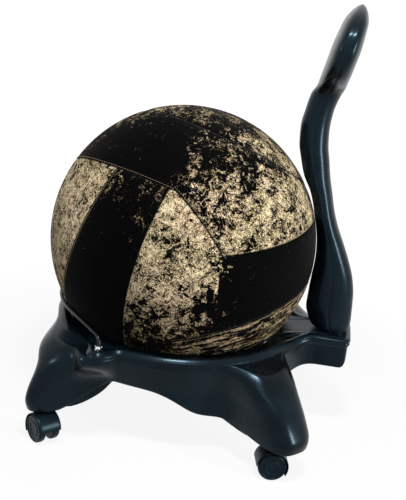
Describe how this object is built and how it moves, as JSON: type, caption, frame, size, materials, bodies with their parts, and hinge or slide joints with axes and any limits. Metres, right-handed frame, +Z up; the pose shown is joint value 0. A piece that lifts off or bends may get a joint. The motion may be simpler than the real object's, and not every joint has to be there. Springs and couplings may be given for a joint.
{
  "type": "balance ball chair",
  "caption": "Inflated ball in a patchwork velvet cover, held in a moulded ring base with flared legs on twin-wheel castors, with a narrow curved backrest and oval pad.",
  "frame": {"origin": "on the floor under the middle of the chair, midway between the front of the ball and the end of the rear tab", "axes": "+Z up, +X to the sitter's left, -Y the way the sitter faces"},
  "size_m": [0.58, 0.5895, 0.7863],
  "materials": {
    "frame_plastic": "semi-gloss black moulded plastic",
    "castor_plastic": "satin black moulded plastic",
    "velvet": "crushed velvet patchwork in antique gold and black",
    "bladder_rubber": "smooth vinyl",
    "black_steel": "black coated rod",
    "chrome": "bright plated",
    "zinc_steel": "zinc plated"
  },
  "bodies": {
    "chair": {"base_frame": "frame_plastic", "front_bar": "black_steel", "left_bar_washer": "chrome", "left_bar_nut": "chrome", "left_lock_washer": "zinc_steel", "left_lock_nut": "zinc_steel", "right_bar_washer": "chrome", "right_bar_nut": "chrome", "right_lock_washer": "zinc_steel", "right_lock_nut": "zinc_steel", "back_front_shell": "frame_plastic", "back_rear_shell": "frame_plastic", "back_support_bar": "zinc_steel", "back_bolt_front": "zinc_steel", "back_bolt_washer_front": "zinc_steel", "back_bolt_rear": "zinc_steel", "back_bolt_washer_rear": "zinc_steel", "front_left_castor_sleeve": "zinc_steel", "front_right_castor_sleeve": "zinc_steel", "rear_left_castor_sleeve": "zinc_steel", "rear_right_castor_sleeve": "zinc_steel"},
    "ball": {"ball_cover": "velvet", "ball_bladder": "bladder_rubber", "cover_hem_cord": "castor_plastic", "valve_plug": "castor_plastic"},
    "front_left_castor": {"front_left_castor_body": "castor_plastic", "front_left_castor_stem": "zinc_steel", "front_left_castor_axle": "zinc_steel"},
    "front_left_wheel_left": {"front_left_castor_wheel_left": "castor_plastic"},
    "front_left_wheel_right": {"front_left_castor_wheel_right": "castor_plastic"},
    "front_right_castor": {"front_right_castor_body": "castor_plastic", "front_right_castor_stem": "zinc_steel", "front_right_castor_axle": "zinc_steel"},
    "front_right_wheel_left": {"front_right_castor_wheel_left": "castor_plastic"},
    "front_right_wheel_right": {"front_right_castor_wheel_right": "castor_plastic"},
    "rear_left_castor": {"rear_left_castor_body": "castor_plastic", "rear_left_castor_stem": "zinc_steel", "rear_left_castor_axle": "zinc_steel"},
    "rear_left_wheel_left": {"rear_left_castor_wheel_left": "castor_plastic"},
    "rear_left_wheel_right": {"rear_left_castor_wheel_right": "castor_plastic"},
    "rear_right_castor": {"rear_right_castor_body": "castor_plastic", "rear_right_castor_stem": "zinc_steel", "rear_right_castor_axle": "zinc_steel"},
    "rear_right_wheel_left": {"rear_right_castor_wheel_left": "castor_plastic"},
    "rear_right_wheel_right": {"rear_right_castor_wheel_right": "castor_plastic"}
  },
  "joints": [
    {"name": "ball_turn", "type": "hinge", "parent": "chair", "child": "ball", "pos_m": [0, -0.044, 0.326], "axis": [0, 0, 1], "continuous": true},
    {"name": "front_left_swivel", "type": "hinge", "parent": "chair", "child": "front_left_castor", "pos_m": [0.24607, -0.23418, 0.06], "axis": [0, 0, 1], "continuous": true},
    {"name": "front_left_wheel_left_roll", "type": "hinge", "parent": "front_left_castor", "child": "front_left_wheel_left", "pos_m": [0.25611, -0.22304, 0.025], "axis": [-0.7431, 0.6691, 0], "continuous": true},
    {"name": "front_left_wheel_right_roll", "type": "hinge", "parent": "front_left_castor", "child": "front_left_wheel_right", "pos_m": [0.25611, -0.22304, 0.025], "axis": [-0.7431, 0.6691, 0], "continuous": true},
    {"name": "front_right_swivel", "type": "hinge", "parent": "chair", "child": "front_right_castor", "pos_m": [-0.24607, -0.23418, 0.06], "axis": [0, 0, 1], "continuous": true},
    {"name": "front_right_wheel_left_roll", "type": "hinge", "parent": "front_right_castor", "child": "front_right_wheel_left", "pos_m": [-0.25611, -0.22304, 0.025], "axis": [-0.7431, -0.6691, 0], "continuous": true},
    {"name": "front_right_wheel_right_roll", "type": "hinge", "parent": "front_right_castor", "child": "front_right_wheel_right", "pos_m": [-0.25611, -0.22304, 0.025], "axis": [-0.7431, -0.6691, 0], "continuous": true},
    {"name": "rear_left_swivel", "type": "hinge", "parent": "chair", "child": "rear_left_castor", "pos_m": [0.24238, 0.19586, 0.06], "axis": [0, 0, 1], "continuous": true},
    {"name": "rear_left_wheel_left_roll", "type": "hinge", "parent": "rear_left_castor", "child": "rear_left_wheel_left", "pos_m": [0.2455, 0.18119, 0.025], "axis": [0.9781, 0.2079, 0], "continuous": true},
    {"name": "rear_left_wheel_right_roll", "type": "hinge", "parent": "rear_left_castor", "child": "rear_left_wheel_right", "pos_m": [0.2455, 0.18119, 0.025], "axis": [0.9781, 0.2079, 0], "continuous": true},
    {"name": "rear_right_swivel", "type": "hinge", "parent": "chair", "child": "rear_right_castor", "pos_m": [-0.24238, 0.19586, 0.06], "axis": [0, 0, 1], "continuous": true},
    {"name": "rear_right_wheel_left_roll", "type": "hinge", "parent": "rear_right_castor", "child": "rear_right_wheel_left", "pos_m": [-0.2455, 0.18119, 0.025], "axis": [0.9781, -0.2079, 0], "continuous": true},
    {"name": "rear_right_wheel_right_roll", "type": "hinge", "parent": "rear_right_castor", "child": "rear_right_wheel_right", "pos_m": [-0.2455, 0.18119, 0.025], "axis": [0.9781, -0.2079, 0], "continuous": true}
  ]
}
